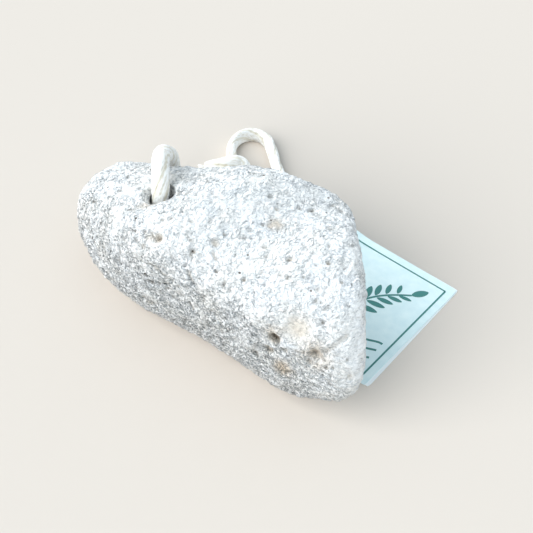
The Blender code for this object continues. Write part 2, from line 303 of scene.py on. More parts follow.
def laid_tube(name, line, sections):
    """A closed tube of laid plies along the line, with widths and heights at places along it."""
    rings = len(line)
    sides, ups = across_frames(line)
    bm = bmesh.new()
    bmesh.ops.create_grid(bm, x_segments=rings - 1, y_segments=TUBE_SIDES, size=0.5)
    grid = np.array([v.co for v in bm.verts]) + 0.5
    ring = np.clip(np.rint(grid[:, 0] * (rings - 1)).astype(int), 0, rings - 1)
    step = np.linalg.norm(line[1] - line[0])
    along = ring * step
    stray = np.array([noise.noise(Vector((k * step / PLY_WANDER_SIZE, len(name), 0))) for k in range(rings)])
    turn = grid[:, 1] - along / LAY + PLY_WANDER * stray[ring]
    ply = np.abs(np.cos(pi * PLIES * turn))
    places, widths, heights = np.array(sections).T
    to_end = np.minimum(ring, rings - 1 - ring) * step
    closing = np.sqrt(np.clip(to_end / END_ROUND, 0.02, 1))
    inward = PLY_HEIGHT * (1 - ply)
    half_width = (np.interp(along, places, widths) / 2 - inward) * closing
    half_height = (np.interp(along, places, heights) / 2 - inward) * closing
    middle = line[ring]
    middle[:, 2] = np.maximum(middle[:, 2], np.interp(along, places, heights) / 2)
    round_it = 2 * pi * grid[:, 1]
    across = sides[ring] * (half_width * np.cos(round_it))[:, None]
    across += ups[ring] * (half_height * np.sin(round_it))[:, None]
    ply_layer = bm.verts.layers.float.new("ply")
    laid_layer = bm.verts.layers.float_vector.new("laid")
    for i, v in enumerate(bm.verts):
        fluff = FLUFF_HEIGHT * noise.fractal(Vector(middle[i] + across[i]) / FLUFF_SIZE, 0.8, 2.0, 2)
        v.co = middle[i] + across[i] * (1 + fluff / 2)
        v.co.z = max(v.co.z, 0.0)
        v[ply_layer] = ply[i]
        v[laid_layer] = (along[i], 2 * cos(2 * pi * turn[i]), 2 * sin(2 * pi * turn[i]))
    bmesh.ops.remove_doubles(bm, verts=bm.verts, dist=0.0001)
    bmesh.ops.holes_fill(bm, edges=[e for e in bm.edges if e.is_boundary], sides=0)
    bmesh.ops.recalc_face_normals(bm, faces=bm.faces)
    return new_piece(name, bm)


cord = laid_tube("cotton_cord", cord_line, CORD_SECTIONS)

# %% [markdown]
# Undyed cotton is a warm white. It is matt and a little fuzzy, so it gets sheen. Its yarns are too thin to
# model, so they are a bump that is drawn out along the plies, and the grooves between the plies are
# darkened with painted shade.

# %% Cotton
YARN = 0.45  # mm across one yarn
YARN_LENGTH = 1.6  # mm that a yarn can be followed before it dips under the next
YARN_BUMP = 0.45  # mm


def cotton():
    """Warm white and matt, with a soft edge of fuzz and fine yarns that follow the plies."""
    material, tree, shader = new_material(
        "undyed soft-laid cotton", Roughness=0.95, Sheen_Weight=0.25, Sheen_Roughness=0.6
    )
    laid = add(tree, "ShaderNodeAttribute", attribute_name="laid")
    ply = add(tree, "ShaderNodeAttribute", attribute_name="ply")
    drawn = (1 / YARN_LENGTH, 1 / YARN, 1 / YARN)
    fibres = add(tree, "ShaderNodeMapping", {"Vector": (laid, "Vector"), "Scale": drawn})
    yarns = add(tree, "ShaderNodeTexNoise", {"Vector": (fibres, 0), "Scale": 1.0, "Detail": 3.0})
    tone = add(
        tree, "ShaderNodeValToRGB", {"Fac": (yarns, "Fac")}, stops=((0.3, "D8D2C4"), (0.52, "F8F8F5"))
    )
    # Painted shade: where the ply height is low, in the grooves between the plies, the cotton is darkened to
    # cream grey.
    shade = add(
        tree, "ShaderNodeValToRGB", {"Fac": (ply, "Fac")}, stops=((0.0, "E4DFD0"), (0.6, "FFFFFF"))
    )
    colour = add(
        tree,
        "ShaderNodeMix",
        {0: 1.0, 6: (tone, "Color"), 7: (shade, "Color")},
        data_type="RGBA",
        blend_type="MULTIPLY",
    )
    bump = add(
        tree, "ShaderNodeBump", {"Height": (yarns, "Fac"), "Strength": 1.0, "Distance": YARN_BUMP * MM}
    )
    tree.links.new(colour.outputs[2], shader.inputs["Base Color"])
    tree.links.new(bump.outputs["Normal"], shader.inputs["Normal"])
    return material


cotton_material = cotton()
cord.data.materials.append(cotton_material)
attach(cord, "root")
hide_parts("cord")

# %% [markdown]
# ## Knot
#
# The two ends of the cord are tied to each other. Each end goes once round the other and comes out as a short
# loose tail, a little frayed. Both are the same laid cord, pressed together in the knot.

# %% Knot
KNOT_SECTIONS = (
    (0.0, 4.0, 4.2),
    (6.0, 4.0, 3.6),
    (12.0, 4.6, 4.6),
    (20.0, 4.0, 3.8),
    (28.0, 1.8, 1.4),
)
KNOT_STRANDS = (
    (
        (-51.4, 48.1, 2.6),  # the end that comes in from the open loop
        (-49.6, 46.6, 2.1),
        (-47.4, 45.6, 1.9),
        (-45.2, 45.6, 2.0),
        (-44.8, 46.6, 2.4),
        (-45.6, 47.8, 3.3),
        (-47.0, 47.0, 3.8),
        (-47.6, 45.6, 4.3),
        (-48.8, 43.3, 4.0),
        (-50.6, 41.2, 3.2),
        (-52.2, 39.6, 2.4),
        (-54.0, 37.9, 1.4),  # its tail
    ),
    (
        (-46.2, 39.3, 3.3),  # the end that comes down over the head
        (-46.5, 41.6, 2.6),
        (-47.4, 44.2, 2.2),
        (-47.6, 46.8, 2.2),
        (-46.2, 48.4, 2.4),
        (-44.2, 47.6, 2.4),
        (-43.0, 45.6, 2.2),
        (-42.0, 43.4, 2.2),
        (-40.8, 41.4, 2.2),
        (-39.2, 39.4, 1.9),  # its tail
    ),
)
FRAY = 26  # loose yarns at each tail
FRAY_LENGTH = 2.4
FRAY_SPREAD = 0.5  # mm from the middle of the tail
FRAY_SINK = 0.3  # mm from the end of the tail back to the roots of its yarns
FRAY_CLEAR = 0.3  # mm that a root keeps above the surface
FRAY_SEED = 5
YARN_ROOT, YARN_TIP = 0.17, 0.07  # radii of one loose yarn


def frayed_end(bm, line, spread, random):
    """Short thin yarns that stick out of the end of the line."""
    sides, ups = across_frames(line)
    end, ahead = line[-1], line[-1] - line[-2]
    ahead /= np.linalg.norm(ahead)
    for _ in range(FRAY):
        turn, out = random.uniform(0, 2 * pi), random.uniform(0.1, 1.0)
        across = sides[-1] * cos(turn) + ups[-1] * sin(turn)
        way = Vector(ahead + across * out * random.uniform(0.1, 0.6))
        length = FRAY_LENGTH * random.uniform(0.5, 1.0)
        root = Vector(end + across * out * spread * 0.8 - ahead * FRAY_SINK)
        root.z = max(root.z, FRAY_CLEAR)
        way.z = max(way.z, -0.05)
        yarn = bmesh.ops.create_cone(
            bm, cap_ends=True, segments=5, radius1=YARN_ROOT, radius2=YARN_TIP, depth=length
        )
        turned = Vector((0, 0, 1)).rotation_difference(way).to_matrix().to_4x4()
        middle = root + way.normalized() * length / 2
        bmesh.ops.transform(bm, matrix=Matrix.Translation(middle) @ turned, verts=yarn["verts"])
    ply_layer = bm.verts.layers.float.new("ply")
    for v in bm.verts:
        v[ply_layer] = 1.0


def make_knot():
    """The two tied strands, each with its frayed tail."""
    random = np.random.default_rng(FRAY_SEED)
    strands = []
    for number, route in enumerate(KNOT_STRANDS):
        line, _ = even_curve(route, CORD_STEP)
        strand = laid_tube(f"knot_strand_{number + 1}", line, KNOT_SECTIONS)
        bm = bmesh.new()
        frayed_end(bm, line, FRAY_SPREAD, random)
        fray = new_piece(f"knot_tail_fray_{number + 1}", bm)
        strands += [strand, fray]
    for piece in strands:
        piece.data.materials.append(cotton_material)
        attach(piece, "root")
    for strand in strands[::2]:
        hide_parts("cord_knot")
    return strands


knot = make_knot()

# %% [markdown]
# ## Tag
#
# A small folded card, pale blue outside and white inside. Two thin leaves lie on each other. The upper one
# ends a little short, so the lower one shows as a pale strip. The cord goes through both near one corner.

# %% Card
TAG_LENGTH = 66.0
TAG_WIDTH = 53.5
TAG_CORNER = (37.7, 62.8)
TAG_TURN = 8.5
TAG_LIFT = 6.8
TAG_LIFT_LENGTH = 34.0
TAG_LIFT_FROM = 17.0
TAG_HOLE_DIAMETER = 7.6
TAG_HOLE_INSET = 8.5
LEAF_THICKNESS = 0.22
LEAVES = ((0.15, 0.9, TAG_LENGTH), (0.43, 0.0, TAG_LENGTH - 0.7))  # height, turn in degrees and length
CORNER_BLUNT = 0.3
MOTTLE_SIZE = 3.0
FIBRE_SIZE, FIBRE_BUMP = 0.25, 0.05


def on_tag(along, across, above):
    """The place over a point of the card, along from its threaded side and across from its front edge."""
    near = smooth_step(1 - along / TAG_LIFT_LENGTH)
    side = smooth_step((across - TAG_LIFT_FROM) / (TAG_WIDTH - TAG_LIFT_FROM))
    turn = radians(TAG_TURN)
    back, left = TAG_LENGTH - along, TAG_WIDTH - across
    x = TAG_CORNER[0] - back * cos(turn) + left * sin(turn)
    y = TAG_CORNER[1] - back * sin(turn) - left * cos(turn)
    return x, y, above + TAG_LIFT * near * side


def make_card():
    """Two leaves with blunt corners, lifted at the threaded corner and punched there."""
    bm = bmesh.new()
    upper = bm.verts.layers.float.new("upper")
    for height, turned, length in LEAVES:
        leaf = bmesh.ops.create_grid(bm, x_segments=44, y_segments=36, size=0.5)["verts"]
        bmesh.ops.scale(bm, vec=(length, TAG_WIDTH, 1), verts=leaf)
        for v in leaf:
            v[upper] = float(height == LEAVES[1][0])
            if len(v.link_edges) == 2:
                v.co -= Vector((v.co.x, v.co.y, 0)).normalized() * CORNER_BLUNT
        bmesh.ops.translate(bm, vec=((length - TAG_LENGTH) / 2, 0, 0), verts=leaf)
        bmesh.ops.rotate(bm, cent=(0, 0, 0), matrix=Matrix.Rotation(radians(turned), 3, "Z"), verts=leaf)
        for v in leaf:
            v.co = on_tag(v.co.x + TAG_LENGTH / 2, v.co.y + TAG_WIDTH / 2, height)
    card = new_piece("folded_card", bm)
    thick = card.modifiers.new("thickness", "SOLIDIFY")
    thick.thickness = LEAF_THICKNESS * MM
    thick.offset = 1.0
    apply_modifiers(card)
    punch_bm = bmesh.new()
    radius = TAG_HOLE_DIAMETER / 2
    bmesh.ops.create_cone(punch_bm, cap_ends=True, segments=48, radius1=radius, radius2=radius, depth=30.0)
    middle = on_tag(TAG_HOLE_INSET, TAG_WIDTH - TAG_HOLE_INSET, 0)
    bmesh.ops.translate(punch_bm, vec=middle, verts=punch_bm.verts)
    punch = new_piece("punch", punch_bm)
    hole = card.modifiers.new("hole", "BOOLEAN")
    hole.object = punch
    hole.solver = "EXACT"
    apply_modifiers(card)
    bpy.data.objects.remove(punch)
    card.data.set_sharp_from_angle(angle=radians(40))
    return card


def uncoated_card():
    """Matt card with a faint mottle and fibres, which are what shows that it is uncoated."""
    material, tree, shader = new_material("pale blue uncoated card", Roughness=0.78)
    place = in_mm(tree)
    mottle = add(tree, "ShaderNodeTexNoise", {"Vector": (place, 0), "Scale": 1 / MOTTLE_SIZE, "Detail": 5.0})
    tone = add(
        tree, "ShaderNodeValToRGB", {"Fac": (mottle, "Fac")}, stops=((0.3, "D2E9EC"), (0.7, "DEF1F2"))
    )
    upper = add(tree, "ShaderNodeAttribute", attribute_name="upper")
    inside = hex_colour("F0F6F7")
    side = add(
        tree, "ShaderNodeMix", {0: (upper, "Fac"), 6: inside, 7: (tone, "Color")}, data_type="RGBA"
    )
    fibres = add(tree, "ShaderNodeTexNoise", {"Vector": (place, 0), "Scale": 1 / FIBRE_SIZE, "Detail": 3.0})
    bump = add(
        tree, "ShaderNodeBump", {"Height": (fibres, "Fac"), "Strength": 0.25, "Distance": FIBRE_BUMP * MM}
    )
    tree.links.new(side.outputs[2], shader.inputs["Base Color"])
    tree.links.new(bump.outputs["Normal"], shader.inputs["Normal"])
    return material


card = make_card()
card.data.materials.append(uncoated_card())
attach(card, "root")
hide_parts("swing_tag")

# %% [markdown]
# The print is a plain pattern in one dark green ink: a sprig of leaves, three waves and a thin frame. Each
# mark is a thin film on the card, made from circles and grids that are bent to shape.

# %% Print
INK_THICKNESS = 0.03
INK_HEIGHT = LEAVES[1][0] + LEAF_THICKNESS + 0.01
FRAME_INSET = 3.2
FRAME_FROM = 18.0  # clear of the hole
SPRIG_ROOT = (44.0, 22.0)
SPRIG_TIP = (56.0, 41.0)
SPRIG_BOW = 2.2
SPRIG_PAIRS = 5
SPRIG_STEP = 0.16  # of the stem, from one pair of leaves to the next
LEAF_ANGLE = radians(46)
LEAF_GAP = 0.7
LEAF_LENGTH, LEAF_SHORTER = 6.6, 0.6  # the lowest pair's, and how much less each next pair has
LEAF_SLIMNESS = 0.34
END_LEAF_LENGTH, END_LEAF_WIDTH = 6.0, 2.6
WAVES = 3
WAVE_FROM, WAVE_TO = 30.0, 60.5
WAVE_FIRST, WAVE_SPACING = 10.0, 3.1
WAVE_HEIGHT, WAVE_RATE = 0.9, 0.62
STEM_WIDTH, WAVE_WIDTH, FRAME_WIDTH = 0.7, 0.8, 0.55


def stroke(bm, points, width):
    """A line of ink through points of the card."""
    points = np.array(points)
    ahead = np.gradient(points, axis=0)
    ahead /= np.linalg.norm(ahead, axis=1, keepdims=True)
    strip = bmesh.ops.create_grid(bm, x_segments=len(points) - 1, y_segments=1, size=0.5)["verts"]
    for v in strip:
        i = round((v.co.x + 0.5) * (len(points) - 1))
        place = points[i] + v.co.y * width * np.array((-ahead[i][1], ahead[i][0]))
        v.co = (*place, 0)


def leaf_mark(bm, root, way, length, width):
    """A pointed leaf of ink from root along the angle way."""
    outline = bmesh.ops.create_circle(bm, cap_ends=True, segments=28, radius=1.0)["verts"]
    for v in outline:
        along = (v.co.x + 1) / 2 * length
        across = width / 2 * v.co.y * abs(v.co.y) ** 0.4
        v.co = (
            root[0] + along * cos(way) - across * sin(way),
            root[1] + along * sin(way) + across * cos(way),
            0,
        )


def make_print():
    """The sprig, the waves and the frame, drawn flat on the card and then bent with it."""
    bm = bmesh.new()
    root, tip = np.array(SPRIG_ROOT), np.array(SPRIG_TIP)
    way = np.arctan2(*(tip - root)[::-1])
    bow = np.array((-sin(way), cos(way))) * SPRIG_BOW
    stem = [root + (tip - root) * t + bow * sin(pi * t) for t in np.linspace(0, 1, 24)]
    stroke(bm, stem, STEM_WIDTH)
    for pair in range(SPRIG_PAIRS):
        t = SPRIG_STEP + SPRIG_STEP * pair
        start = root + (tip - root) * t + bow * sin(pi * t)
        length = LEAF_LENGTH - LEAF_SHORTER * pair
        for side in (-1, 1):
            angle = way + side * LEAF_ANGLE
            off_stem = start + LEAF_GAP * np.array((cos(angle), sin(angle)))
            leaf_mark(bm, off_stem, angle, length, length * LEAF_SLIMNESS)
    leaf_mark(bm, stem[-1], way, END_LEAF_LENGTH, END_LEAF_WIDTH)
    for wave in range(WAVES):
        middle = WAVE_FIRST + WAVE_SPACING * wave
        across = np.linspace(WAVE_FROM, WAVE_TO, 60)
        crest = [(x, middle + WAVE_HEIGHT * sin(x * WAVE_RATE + wave)) for x in across]
        stroke(bm, crest, WAVE_WIDTH)
    low, wide, high = FRAME_INSET, TAG_LENGTH - FRAME_INSET, TAG_WIDTH - FRAME_INSET
    for line in (
        [(FRAME_FROM, low), (wide, low)],
        [(wide, low), (wide, high)],
        [(wide, high), (FRAME_FROM, high)],
        [(FRAME_FROM, high), (FRAME_FROM, low)],
    ):
        ends = np.array(line, float)
        stroke(bm, [ends[0] + (ends[1] - ends[0]) * t for t in np.linspace(0, 1, 8)], FRAME_WIDTH)
    for v in bm.verts:
        v.co = on_tag(v.co.x, v.co.y, INK_HEIGHT)
    mark = new_piece("card_print", bm, smooth=False)
    film = mark.modifiers.new("film", "SOLIDIFY")
    film.thickness = INK_THICKNESS * MM
    film.offset = 1.0
    apply_modifiers(mark)
    return mark


card_print = make_print()
# Flat and dark, a little less matt than the card under it.
ink, _, _ = new_material(
    "dark green printing ink", Roughness=0.6, Base_Color=hex_colour("3F7F7A")
)
card_print.data.materials.append(ink)
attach(card_print, "root")

# %% [markdown]
# ## Stone
#
# Pumice is glass foam that froze as it was full of gas. Water and tumbling wore this lump round, and opened
# the bubbles in its skin. First comes the same smooth form as the solid's: a sphere, moved onto eight
# sections, with a worn dish round the hole and a belly that leaves room for the tag.

# %% Stone: the smooth form
#  x, half width, y of the middle, z of the underside, z of the top, z of the widest place, y of the crest
SECTIONS = (
    (-53.8, 0.0, -3.5, 18.5, 18.5, 18.5, -3.5),
    (-45.0, 16.5, -5.5, 10.0, 26.5, 17.0, -11.5),
    (-30.0, 23.5, -5.0, 5.5, 35.0, 15.5, -12.5),
    (-10.0, 28.5, -3.0, 0.0, 44.5, 27.5, -8.0),
    (10.0, 29.0, 2.5, -0.8, 41.0, 31.0, -2.5),
    (30.0, 18.5, -4.0, 2.0, 43.5, 32.0, 2.5),
    (45.0, 9.5, -8.0, 10.5, 37.5, 23.5, -4.5),
    (53.8, 0.0, -9.5, 21.5, 21.5, 21.5, -9.5),
)
BOX_POWER = 2.3  # 2 makes each section an ellipse, and more makes it boxier
HOLLOWS = (  # middle, reach and depth
    ((-19.0, -15.0, 40.0), 13.0, 3.5),
    ((-15.0, 2.0, 45.0), 12.0, 1.2),
)
HOLLOW_WAY = (-0.25, -0.15, 0.95)
HOLLOW_FALL = 1.6
BELLY_RELIEF = 2.2
BELLY_EDGE = 6.0
BELLY_TOP = 14.0


def tag_edge(x):
    """The y of the tag's front edge, under the stone."""
    front_corner = on_tag(TAG_LENGTH, 0, 0)
    return front_corner[1] + (x - front_corner[0]) * np.tan(radians(TAG_TURN))


def form(points):
    """Points of a unit sphere, moved onto the stone's smooth form."""
    table = np.array(SECTIONS)
    knots = table[:, 0]
    half_length = (knots[-1] - knots[0]) / 2
    x = np.clip(points[:, 0] * half_length, knots[0], knots[-1])
    half, middle, under, top, widest, crest = table[:, 1:].T
    half = np.sqrt(np.maximum(between(x, knots, half**2), 0))
    rise = np.sqrt(np.maximum(between(x, knots, (top - widest) ** 2), 0))
    fall = np.sqrt(np.maximum(between(x, knots, (widest - under) ** 2), 0))
    middle, widest, crest = (between(x, knots, row) for row in (middle, widest, crest))

    turn = np.arctan2(points[:, 2], points[:, 1])
    side, height = np.cos(turn), np.sin(turn)
    reach = (np.abs(side) ** BOX_POWER + np.abs(height) ** BOX_POWER) ** (-1 / BOX_POWER)
    lean = (crest - middle) * np.maximum(height, 0) ** 2
    y = middle + half * side * reach + lean
    z = widest + np.where(height > 0, rise, fall) * height * reach
    shaped = np.stack([x, y, z], axis=1)

    for centre, spread, depth in HOLLOWS:
        away = np.linalg.norm(shaped - centre, axis=1) / spread
        shaped -= np.outer(depth * np.exp(-HOLLOW_FALL * away**2), HOLLOW_WAY)
    behind = smooth_step((shaped[:, 1] - tag_edge(shaped[:, 0]) + BELLY_EDGE) / BELLY_EDGE)
    shaped[:, 2] += BELLY_RELIEF * behind * smooth_step((BELLY_TOP - shaped[:, 2]) / BELLY_TOP)
    return shaped


def on_form(along, around):
    """The point of the form at x = along and so many degrees round its section."""
    x = along / SECTIONS[-1][0]
    ring = np.sqrt(max(1 - x * x, 0))
    turn = radians(around)
    return form(np.array([[x, ring * cos(turn), ring * sin(turn)]]))[0]


# %% [markdown]
# Then the marks that make this stone this stone: the pits, the broad bite low on the nose and the small step
# beside it, in the solid's own places, and the seeded scatter of smaller pits. Finer than the solid's are the
# pinholes, a few torn grooves and the places where the foam is stained tan.

# %% Stone: pits
PITS = (  # mm along x, degrees round the section, radius and depth
    (-5.5, 140, 1.9, 1.9),  # the dark pit below the hole
    (-7.8, 143, 2.4, 0.9),  # the pale hollow beside it
    (-10.2, 140, 1.0, 0.9),
    (-8.0, 153, 1.4, 0.8),
    (-2.5, 116, 1.0, 0.8),
    (5.8, 119, 1.6, 1.2),
    (6.2, 74, 1.0, 1.0),
    (9.0, 64, 0.9, 0.9),
    (9.8, 87, 1.0, 0.7),
    (15.0, 105, 1.1, 0.8),
    (19.5, 65, 0.9, 0.8),
    (23.2, 112, 1.3, 1.5),
    (27.2, 127, 0.9, 0.9),
    (34.5, 119, 1.2, 0.8),
    (33.8, 180, 2.4, 2.4),  # the deep pit under the scallop
    (33.0, -170, 1.9, 1.7),  # its long lower half
    (37.2, 179, 1.3, 1.1),
    (29.0, -159, 1.5, 1.2),
    (44.0, 155, 2.2, 1.7),  # the tan cavity low on the nose
    (43.5, 166, 1.4, 1.0),
    (-33.8, 112, 1.5, 0.8),
    (-36.8, 70, 1.1, 0.8),
    (-39.5, 121, 1.2, 0.7),
    (52.8, 130, 1.4, 1.0),  # the notch at the tip
)
SCALLOP = (37.8, 151, 5.2, 1.3)
LEDGE = ((45.5, 146), (47.2, 111), 1.1, 0.8)
BOWL_POWER = 1.3  # over 1, a pit's wall runs out softly at its rim
SCATTERED_PITS = 120
SCATTER_SEED = 11
SCATTER_RADIUS = (0.8, 1.8)
SCATTER_DEPTH = 0.55  # times the radius
NAMED_SIDE = (0.3, -0.6, 0.7)
PINHOLES = (  # mm along x, degrees round the section and radius
    (8.5, 89, 0.7),
    (22.2, 50, 0.7),
    (25.3, 127, 0.6),
    (29.8, 120, 0.6),
    (29.2, 108, 0.5),
    (30.7, 99, 0.9),
    (29.8, 62, 0.6),
    (37.0, 97, 0.7),
    (38.8, 85, 0.5),
    (19.2, 139, 0.8),
    (11.8, 139, 0.7),
    (4.0, 134, 0.8),
    (5.3, 110, 0.7),
    (41.2, 130, 0.7),
    (47.5, 158, 0.7),
    (48.8, 151, 0.6),
    (47.5, 169, 0.6),
    (50.5, 122, 0.6),
    (-28.0, 78, 0.7),
)
PINHOLE_DEPTH = 1.6  # times the radius
STAINS = (  # mm along x, degrees round the section, radius and share
    (10.5, 83, 4.0, 0.8),
    (15, 105, 2.6, 0.5),
    (-20.5, 108, 4.2, 0.7),
    (1.5, 99, 3.0, 0.6),
    (44, 155, 6.0, 0.9),
    (37.5, -165, 4.5, 1.0),
    (33, 168, 4.0, 0.7),
)
GROOVES = (  # their two ends, in mm along x and degrees round the section
    ((-4.2, 168), (0.0, 174)),
    ((8.2, -171), (10.8, -165)),
    ((15.5, -173), (20.2, -166)),
    ((-8.2, -161), (-4.0, -155)),
    ((6.0, 155), (8.8, 168)),
    ((7.5, 126), (9.2, 129)),
)
GROOVE_REACH, GROOVE_DEPTH = 0.8, 0.9


def bowl(points, centre, radius):
    """1 in the middle of a pit and 0 from its rim outwards."""
    away = np.linalg.norm(points - centre, axis=1) / radius
    return np.clip(1 - away**2, 0, 1) ** BOWL_POWER


def trough(points, start, end, reach):
    """1 along the line from start to end and 0 from its sides outwards."""
    way = end - start
    t = np.clip((points - start) @ way / (way @ way), 0, 1)
    away = np.linalg.norm(points - start - t[:, None] * way, axis=1) / reach
    return np.clip(1 - away**2, 0, 1) ** BOWL_POWER


def stains(points):
    """1 where the foam is stained tan and 0 where it is clean."""
    stained = np.zeros(len(points))
    for along, around, radius, share in STAINS:
        stained = np.maximum(stained, share * bowl(points, on_form(along, around), radius))
    return stained


def scattered_pits():
    """Seeded pits on the back and the underside, where none is named: places on the form, and radii."""
    random = np.random.default_rng(SCATTER_SEED)
    way = random.normal(size=(SCATTERED_PITS, 3))
    way /= np.linalg.norm(way, axis=1, keepdims=True)
    radii = random.uniform(*SCATTER_RADIUS, SCATTERED_PITS)
    unnamed = way @ NAMED_SIDE < 0
    return form(way[unnamed]), radii[unnamed]


def pits(points):
    """How deep every pit, the scallop and the ledge sink each point."""
    depth = np.zeros(len(points))
    for along, around, radius, deep in PITS + (SCALLOP,):
        depth = np.maximum(depth, deep * bowl(points, on_form(along, around), radius))
    start, end, reach, deep = LEDGE
    depth = np.maximum(depth, deep * trough(points, on_form(*start), on_form(*end), reach))
    for centre, radius in zip(*scattered_pits()):
        depth = np.maximum(depth, SCATTER_DEPTH * radius * bowl(points, centre, radius))
    for along, around, radius in PINHOLES:
        depth = np.maximum(depth, PINHOLE_DEPTH * radius * bowl(points, on_form(along, around), radius))
    for start, end in GROOVES:
        groove = trough(points, on_form(*start), on_form(*end), GROOVE_REACH)
        depth = np.maximum(depth, GROOVE_DEPTH * groove)
    return depth


# %% [markdown]
# The skin itself comes from noise. The gas bubbles were drawn out and pressed flat as the lava flowed, so the
# noise is read in coordinates that are turned into the flow and stretched along it. Added up are the broad
# lumps and rough grain of the solid, a crumbly grain, thin crevices, and bubbles cut open, which are cells of
# a Voronoi pattern. Both ends, the top and the floor of the bite are worn smoother than the flanks. The top
# is the side turned to the key light, and the roughness also sets how much painted shade the material puts in
# the creases and streaks, so the flanks turned from the light are painted darker.

# %% Stone: skin
LUMP_SIZE, LUMP_HEIGHT = 9.0, 0.45
GRAIN_SIZE, GRAIN_HEIGHT = 3.2, 0.3
CRUMB_SIZE, CRUMB_HEIGHT = 1.15, 0.34
CREVICE_SIZE, CREVICE_DEPTH, CREVICE_WIDTH = 1.7, 0.42, 0.2
BUBBLE_SIZE, BUBBLE_DEPTH, BUBBLE_WIDTH = 1.5, 0.6, 0.42
FLOW_TURN = Euler((0, radians(16), radians(9)))
FLOW_STRETCH = (1.5, 2.4, 1.0)  # along and across the stone, and upwards, in the turned axes
WORN_AND_LIT_SIDE = Vector((0.6, -0.1, 0.8))
FLANK_ROUGHNESS = 1.35
LIT_SIDE_WEAR, TIP_WEAR, SCALLOP_WEAR = 0.7, 0.25, 0.55
WORN_TIPS_FROM, WORN_TIPS_OVER = 40.0, 12.0  # mm along x, towards both ends
RICH_SIZE, RICH_MEAN, RICH_SPREAD = 6.0, 0.35, 1.5  # where the foam has many bubbles and where few
CREVICE_LEAST = 0.4  # the share of a crevice's depth where the bubbles are few
CREVICE_SHIFT, RICH_SHIFT = Vector((0, 0, 31)), Vector((9, 0, 0))
BUBBLE_SHARPNESS = 0.7


def skin(points, normals):
    """How far each point is pushed out and how deep it lies in the pores, in mm, and how rough it is."""
    push, pore = np.empty(len(points)), np.empty(len(points))
    to_flow = Matrix.Diagonal([1 / s for s in FLOW_STRETCH]) @ FLOW_TURN.to_matrix().transposed()
    # The side named here faces the key light: faces turned to it get a smoother skin and, in the material,
    # less painted shade.
    rough = FLANK_ROUGHNESS - LIT_SIDE_WEAR * np.clip(normals @ np.array(WORN_AND_LIT_SIDE), 0, 1)
    rough -= TIP_WEAR * smooth_step((np.abs(points[:, 0]) - WORN_TIPS_FROM) / WORN_TIPS_OVER)
    rough -= SCALLOP_WEAR * bowl(points, on_form(*SCALLOP[:2]), SCALLOP[2])
    for i, point in enumerate(points):
        place = Vector(point)
        flow = to_flow @ place
        broad = noise.noise(place / LUMP_SIZE)
        grain = noise.noise(place / GRAIN_SIZE)
        crumb = noise.fractal(flow / CRUMB_SIZE, 0.7, 2.1, 2)
        gap = abs(noise.noise(flow / CREVICE_SIZE + CREVICE_SHIFT))
        crevice = max(0.0, 1 - gap / CREVICE_WIDTH)
        near = noise.voronoi(flow / BUBBLE_SIZE)[0][0]
        rich = RICH_MEAN + RICH_SPREAD * noise.noise(place / RICH_SIZE + RICH_SHIFT)
        rich = min(max(rich, 0), 1)
        bubble = rich * max(0.0, 1 - near / BUBBLE_WIDTH) ** BUBBLE_SHARPNESS
        open_share = CREVICE_LEAST + (1 - CREVICE_LEAST) * rich
        sunk = CREVICE_DEPTH * crevice * open_share + BUBBLE_DEPTH * bubble
        fine = (CRUMB_HEIGHT * crumb - sunk) * rough[i]
        push[i] = LUMP_HEIGHT * broad + GRAIN_HEIGHT * grain + fine
        pore[i] = -fine
    return push, pore, rough


# %% [markdown]
# The sphere has 160 000 points, enough for bubbles of a millimetre. The drilled hole is cut with a rough rod
# that is narrowed a little below the mouth, so the hole keeps a slope there. The belly is flat where it
# touches the surface, and Decimate then keeps the triangles where the skin is most broken.

# %% Stone: mesh
SPHERE_LEVELS = 8
STONE_TRIANGLES = 192000  # about as many as are left
HOLE_DIAMETER = 9.2
HOLE_MOUTH = (-22.4, -12.3, 35.1)
HOLE_WAY = (0.28, -0.29, 0.915)
HOLE_DEPTH = 32.0
MOUTH_DIAMETER = 9.6
MOUTH_REACH = 1.5
DRILL_ROUGHNESS = 0.22
DRILL_GRAIN = 1.3
DRILL_OVER = 12.0  # how far the rod sticks out at both mouths
DRILL_MARKS = (("hollow", 0.9), ("pore", 0.0), ("rough", 0.8))
FUNNEL_DEPTH = 4.5  # where the hole is narrowest, under a slope on the side that the cord is drawn from
FUNNEL_SHARE = 0.28
FUNNEL_SHIFT = Vector((0.83, 0.85, 0.0))


